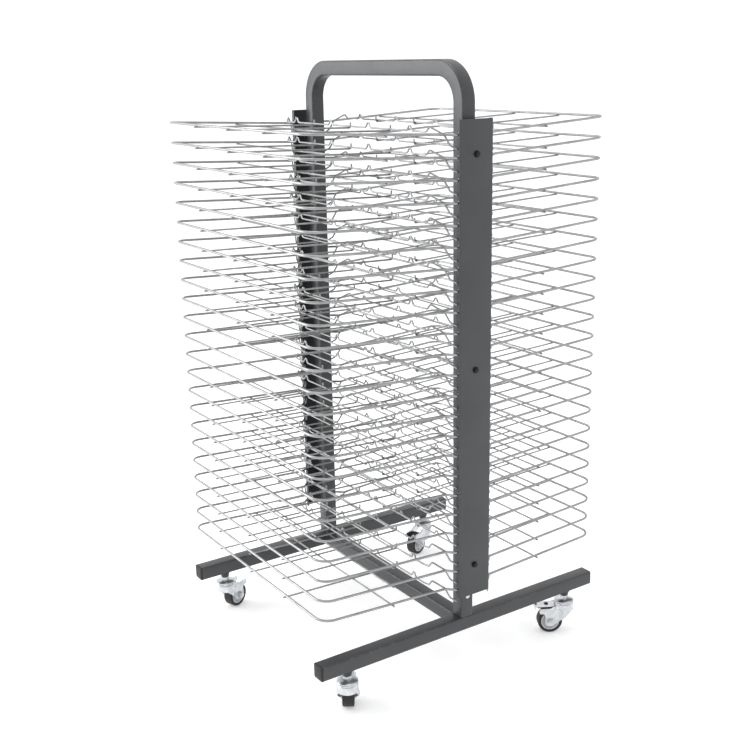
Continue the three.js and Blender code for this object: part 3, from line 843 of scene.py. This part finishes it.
SHOULDER_ROWS = 4
ROOF_ROWS = 4
ROOF_HOLE = 0.45
HEAD_SIDES = 40
PIN_SIDES = 12
FITTING_CRISP = 30.0
HEAD_OUTLINE = (
    (0.0120, 0.0636),
    (0.0192, 0.0638),
    (0.0200, 0.0645),
    (0.0200, 0.0657),
    (0.0193, 0.0663),
    (0.0187, 0.0666),
    (0.0187, 0.0671),
    (0.0193, 0.0674),
    (0.0197, 0.0680),
    (0.0195, 0.0689),
    (0.0183, 0.0697),
    (0.0130, 0.0716),
    (0.0080, 0.0723),
)
NECK_OUTLINE = ((0.0074, 0.0715), (0.0085, 0.0724), (0.0085, 0.0777), (0.0076, 0.0787))
STEM_OUTLINE = ((0.0050, 0.0780), (0.0050, 0.0956), (0.0044, 0.0963))
WASHER_DISC = ((0.0083, 0.0136), (0.0083, 0.0151), (0.0079, 0.0154), (0.0050, 0.0154))
NUT_OUTLINE = ((0.0070, 0.0150), (0.0074, 0.0155), (0.0074, 0.0190), (0.0064, 0.0198))
BOLT_END_OUTLINE = ((0.0038, 0.0190), (0.0038, 0.0205), (0.0030, 0.0211))
AXLE_PIN_OUTLINE = ((0.0035, -0.0142), (0.0035, 0.0142))
BRAKE_PIN_OUTLINE = (
    (0.0018, -0.0151),
    (0.0026, -0.0146),
    (0.0026, -0.0139),
    (0.0015, -0.0138),
    (0.0015, 0.0138),
    (0.0026, 0.0139),
    (0.0026, 0.0146),
    (0.0018, 0.0151),
)
ZINC_LIGHT = (0.70, 0.71, 0.72, 1.0)
ZINC_BLUE = (0.52, 0.55, 0.58, 1.0)
ZINC_CLOUDS = Clouds(lumps=120.0, detail=4.0, low=0.3, high=0.7)
ZINC_BLUE_ROUGHER = 0.16
ZINC_ROUGHNESS = Span(least=0.2, more=0.08, lumps=900.0)
ZINC_GRAIN = Grain(lumps=650.0, detail=2.0, depth=0.00008, strength=0.3)

zinc_plate = Finish("bright_zinc_plate", Metallic=1.0)
zinc_cloud = zinc_plate.clouds(ZINC_CLOUDS)
zinc_plate.set(Base_Color=zinc_plate.blend(zinc_cloud, ZINC_LIGHT, ZINC_BLUE))
zinc_plate.set(Roughness=zinc_plate.varied(ZINC_ROUGHNESS) + ZINC_BLUE_ROUGHER * zinc_cloud)
zinc_plate.relief(ZINC_GRAIN)

rolls = joints_of("roll")
brakes = joints_of("brake")


def grid_sheet(grid, keep):
    """A sheet over a grid of points: quads where keep is true, without the points that none of them uses."""
    rows, columns = grid.shape[:2]
    index = np.arange(rows * columns).reshape(rows, columns)
    quads = np.stack([index[:-1, :-1], index[1:, :-1], index[1:, 1:], index[:-1, 1:]], -1)[keep]
    used, compact = np.unique(quads, return_inverse=True)
    return Surface(grid.reshape(-1, 3)[used], compact.reshape(-1, 4), [], 0.0)


def eased(value, low, high):
    """A smooth step: 3 t^2 - 2 t^3, where t goes from 0 at low to 1 at high."""
    t = np.clip((value - low) / (high - low), 0.0, 1.0)
    return t**2 * (3 - 2 * t)


def evenly(line, spacing):
    """Points about one spacing apart along a line."""
    reach = np.r_[0.0, np.cumsum(np.linalg.norm(np.diff(line, axis=0), axis=1))]
    steps = np.linspace(0.0, reach[-1], int(reach[-1] / spacing) + 1)
    return np.stack([np.interp(steps, reach, column) for column in line.T], -1)


def pressed_fork():
    """Middle surface of the pressing about the swivel axis. Its plan y(x) goes from the cheek's line to
    sqrt(r^2 - x^2) round the hood, and back on the other side. Each station of the plan carries a wall from
    the lower edge z_low up to z_top(x), then, round the hood, the shoulder's arc and the roof."""
    edge = evenly(bent_line(CHEEK_EDGE, CHEEK_EDGE_TURNS, EDGE_STEPS), EDGE_SPACING)
    turn = np.linspace(math.acos(edge[-1, 0] / HOOD_RADIUS), 0.0, FRONT_STEPS + 1)[1:]
    front = np.stack([HOOD_RADIUS * np.cos(turn), np.full_like(turn, HOOD_LOW_Z)], -1)
    x, z_low = np.concatenate([edge, front]).T
    round_hood = np.sqrt(np.clip(HOOD_RADIUS**2 - np.clip(x, -HOOD_BEHIND, None) ** 2, 0.0, None))
    y = CHEEK_Y + (round_hood - CHEEK_Y) * eased(x, -CHEEK_STRAIGHT, -CHEEK_MEETS_HOOD)
    wall_top = HOOD_ROOF_Z - HOOD_SHOULDER
    z_top = BAND_TOP_Z + (wall_top - BAND_TOP_Z) * eased(x, *BAND_STEP)
    past = np.clip(BAND_CORNER - (x + BAND_REAR), 0.0, BAND_CORNER)
    z_top = z_top - BAND_CORNER + np.sqrt(BAND_CORNER**2 - past**2)
    plan = np.stack([np.r_[x, x[-2::-1]], np.r_[y, -y[-2::-1]]], -1)
    low = np.r_[z_low, z_low[-2::-1]][:, None]
    top = np.r_[z_top, z_top[-2::-1]][:, None]
    wall_z = low + (top - low) * np.linspace(0.0, 1.0, WALL_ROWS)
    bend = np.linspace(0.0, math.pi / 2, SHOULDER_ROWS + 1)[1:]
    bend_z = top + HOOD_SHOULDER * np.sin(bend)
    bend_share = 1 - (HOOD_SHOULDER / HOOD_RADIUS) * (1 - np.cos(bend))
    roof_share = np.linspace(bend_share[-1], ROOF_HOLE, ROOF_ROWS + 1)[1:]
    share = np.r_[np.ones(WALL_ROWS), bend_share, roof_share]
    roof_z = np.repeat(bend_z[:, -1:], ROOF_ROWS, 1)
    z = np.concatenate([wall_z, bend_z, roof_z], 1)
    grid = np.concatenate([plan[:, None] * share[:, None], z[..., None]], -1)
    is_wall = np.arange(grid.shape[1] - 1) < WALL_ROWS - 1
    is_hood = np.minimum(plan[:-1, :1], plan[1:, :1]) >= -HOOD_BEHIND
    return grid_sheet(grid, is_hood | is_wall)


def thickened(sheet):
    """Give a pressing its thickness, half on each side of its middle surface, and break its cut edges."""
    wall = sheet.modifiers.new("wall", "SOLIDIFY")
    wall.thickness = FORK_SHEET
    wall.offset = 0.0
    edge = sheet.modifiers.new("edge", "BEVEL")
    edge.width = FORK_EDGE
    edge.segments = FORK_EDGE_STEPS
    edge.limit_method = "ANGLE"
    edge.angle_limit = math.radians(FORK_EDGE_ANGLE)
    return sheet


def on_castor(surfaces, name):
    """Turn surfaces from a castor's own frame, wheel trailing along -X, to its heading and its stem."""
    stem = np.array(swivels[name]["pos_m"])
    forward = unit((stem - np.array(rolls[name]["pos_m"]))[:2])
    turn = np.array([(forward[0], -forward[1], 0.0), (forward[1], forward[0], 0.0), (0.0, 0.0, 1.0)])
    return [surface._replace(points=surface.points @ turn.T + stem * (1, 1, 0)) for surface in surfaces]


def place_on_castor(name, joint):
    """A joint's place in its castor's own frame: how far behind the stem it is, and its height."""
    behind = np.array(joint["pos_m"]) - np.array(swivels[name]["pos_m"])
    return np.array([-np.linalg.norm(behind[:2]), 0.0, joint["pos_m"][2]])


hexagon = circle(6)
for name in swivels:
    sheet = thickened(piece("castor_pressing_" + name, on_castor([pressed_fork()], name), zinc_plate))
    axle = place_on_castor(name, rolls[name])
    fittings = [
        turned(HEAD_OUTLINE, (0, 0, 0), section=circle(HEAD_SIDES)),
        turned(NECK_OUTLINE, (0, 0, 0), section=hexagon),
        turned(STEM_OUTLINE, (0, 0, 0)),
        turned(AXLE_PIN_OUTLINE, axle, ALONG_Y),
    ]
    for out in (-ALONG_Y, ALONG_Y):
        fittings.append(turned(WASHER_DISC, axle, out))
        fittings.append(turned(NUT_OUTLINE, axle, out, section=hexagon))
        fittings.append(turned(BOLT_END_OUTLINE, axle, out))
    if name in brakes:
        pin = place_on_castor(name, brakes[name])
        fittings.append(turned(BRAKE_PIN_OUTLINE, pin, ALONG_Y, section=circle(PIN_SIDES)))
    head = piece("castor_head_" + name, on_castor(fittings, name), zinc_plate, FITTING_CRISP)
    for made in (sheet, head):
        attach(made, "castor_" + name)
    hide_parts("castor_fork_" + name)

# Castor wheels: a black rubber tread moulded round a light grey plastic centre, which is dished on both
# sides round a hub that runs on the axle.
WHEEL_SIDES = 48
WHEEL_CRISP = 32.0
TREAD_OUTER = 0.025
TREAD_INNER = 0.0188
TREAD_HALF = 0.011
TREAD_CORNER = 0.0024
CENTRE_HALF_LOOP = (
    (0.0039, 0.0100),
    (0.0078, 0.0100),
    (0.0084, 0.0094),
    (0.0088, 0.0062),
    (0.0096, 0.0056),
    (0.0146, 0.0056),
    (0.0154, 0.0062),
    (0.0160, 0.0092),
    (0.0165, 0.0098),
    (0.0184, 0.0100),
    (0.0190, 0.0094),
)
RUBBER_BLACK = (0.012, 0.012, 0.013, 1.0)
RUBBER_DUSTY = (0.045, 0.044, 0.043, 1.0)
CENTRE_GREY = (0.50, 0.51, 0.52, 1.0)
CENTRE_PALE = (0.60, 0.61, 0.62, 1.0)
RUBBER_SHEEN = 0.35
RUBBER_DUST = Clouds(lumps=130.0, detail=5.0, low=0.48, high=0.72)
RUBBER_ROUGH = 0.5
RUBBER_DUST_ROUGHER = 0.25
RUBBER_GRAIN = Grain(lumps=1100.0, detail=3.0, depth=0.0001, strength=0.4)
CENTRE_SHEEN = 0.45
CENTRE_CLOUDS = Clouds(lumps=90.0, detail=3.0, low=0.3, high=0.7)
CENTRE_ROUGH = 0.36
CENTRE_PALE_ROUGHER = 0.2
CENTRE_GRAIN = Grain(lumps=1200.0, detail=1.0, depth=0.00008, strength=0.25)

rubber = Finish("black_rubber_tread", Specular_IOR_Level=RUBBER_SHEEN)
dusty = rubber.clouds(RUBBER_DUST)
rubber.set(Base_Color=rubber.blend(dusty, RUBBER_BLACK, RUBBER_DUSTY))
rubber.set(Roughness=RUBBER_ROUGH + RUBBER_DUST_ROUGHER * dusty)
rubber.relief(RUBBER_GRAIN)
wheel_plastic = Finish("grey_wheel_plastic", Specular_IOR_Level=CENTRE_SHEEN)
wheel_cloud = wheel_plastic.clouds(CENTRE_CLOUDS)
wheel_plastic.set(Base_Color=wheel_plastic.blend(wheel_cloud, CENTRE_GREY, CENTRE_PALE))
wheel_plastic.set(Roughness=CENTRE_ROUGH + CENTRE_PALE_ROUGHER * wheel_cloud)
wheel_plastic.relief(CENTRE_GRAIN)

tread_loop = rounded_bar((TREAD_OUTER - TREAD_INNER) / 2, TREAD_HALF, TREAD_CORNER)
tread_loop = tread_loop + ((TREAD_OUTER + TREAD_INNER) / 2, 0.0)
upper = np.array(CENTRE_HALF_LOOP)
centre_loop = np.concatenate([upper * (1, -1), upper[::-1]])
for name, joint in rolls.items():
    middle = place_on_castor(name, joint)
    for part, loop, finish in (("tread", tread_loop, rubber), ("centre", centre_loop, wheel_plastic)):
        surfaces = on_castor([ring_turned(loop, middle, ALONG_Y, ALONG_X, WHEEL_SIDES)], name)
        made = piece(f"castor_{part}_{name}", surfaces, finish, WHEEL_CRISP)
        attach(made, "wheel_" + name)
        if part == "tread":
            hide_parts("castor_wheel_" + name)

# Brake pedals: plates of the same zinc-plated steel on the two near castors, hinged on the fork's pin
# behind the hood, with an end turned down, a black button on top and a black rivet near the end.
PEDAL_HALF = 0.0114
PEDAL_EYE = 0.0033
EYE_TURNS = (95.0, -190.0)
EYE_POINTS = 22
PEDAL_THICK = 0.0020
PEDAL_TIP = 0.040
PEDAL_LIP = 0.0060
PEDAL_EDGE = 0.0006
PEDAL_ROUND = 0.0012
PEDAL_ROUND_INSET = 0.00036
BUTTON_AT = 0.0160
BUTTON_OUTLINE = ((0.0044, -0.0004), (0.0044, 0.0010), (0.0039, 0.0016), (0.0026, 0.0020), (0.0010, 0.0021))
RIVET_AT = 0.0372
RIVET_OUTLINE = ((0.0022, -0.0006), (0.0022, 0.0007), (0.0017, 0.0013), (0.0007, 0.0015))


def pedal_outline():
    """Side view of a pedal about its pin, going round: three quarters of the eye's circle, then along the
    underside, round the lip, and back along the top."""
    eye = np.linspace(*np.radians(EYE_TURNS), EYE_POINTS)
    round_eye = PEDAL_EYE * np.stack([np.cos(eye), np.sin(eye)], -1)
    top = PEDAL_EYE
    low = top - PEDAL_THICK
    start = -PEDAL_TIP + PEDAL_THICK
    lip = np.array(
        [
            (-PEDAL_EYE - PEDAL_THICK / 2, low),
            (start + PEDAL_EDGE, low),
            (start, low - PEDAL_EDGE),
            (start, low - PEDAL_LIP),
            (-PEDAL_TIP + PEDAL_EDGE, low - PEDAL_LIP),
            (-PEDAL_TIP, low - PEDAL_LIP + PEDAL_EDGE),
            (-PEDAL_TIP, top - PEDAL_ROUND),
            (-PEDAL_TIP + PEDAL_ROUND_INSET, top - PEDAL_ROUND_INSET),
            (-PEDAL_TIP + PEDAL_ROUND, top),
        ]
    )
    return np.concatenate([round_eye, lip])


pedal_across = np.array([(0.0, -PEDAL_HALF, 0.0), (0.0, PEDAL_HALF, 0.0)])
for name, joint in brakes.items():
    pin = place_on_castor(name, joint)
    lever = carried(pedal_outline(), pedal_across + pin, ALONG_X, ALONG_Z)
    pedal = piece("pedal_lever_" + name, on_castor([lever], name), zinc_plate, FITTING_CRISP)
    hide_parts("brake_pedal_" + name)
    button_foot = pin + (-BUTTON_AT, 0.0, PEDAL_EYE)
    rivet_foot = pin + (-RIVET_AT, 0.0, PEDAL_EYE)
    studs = [turned(BUTTON_OUTLINE, button_foot), turned(RIVET_OUTLINE, rivet_foot)]
    button = piece("pedal_button_" + name, on_castor(studs, name), black_bolt)
    for made in (pedal, button):
        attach(made, "pedal_" + name)
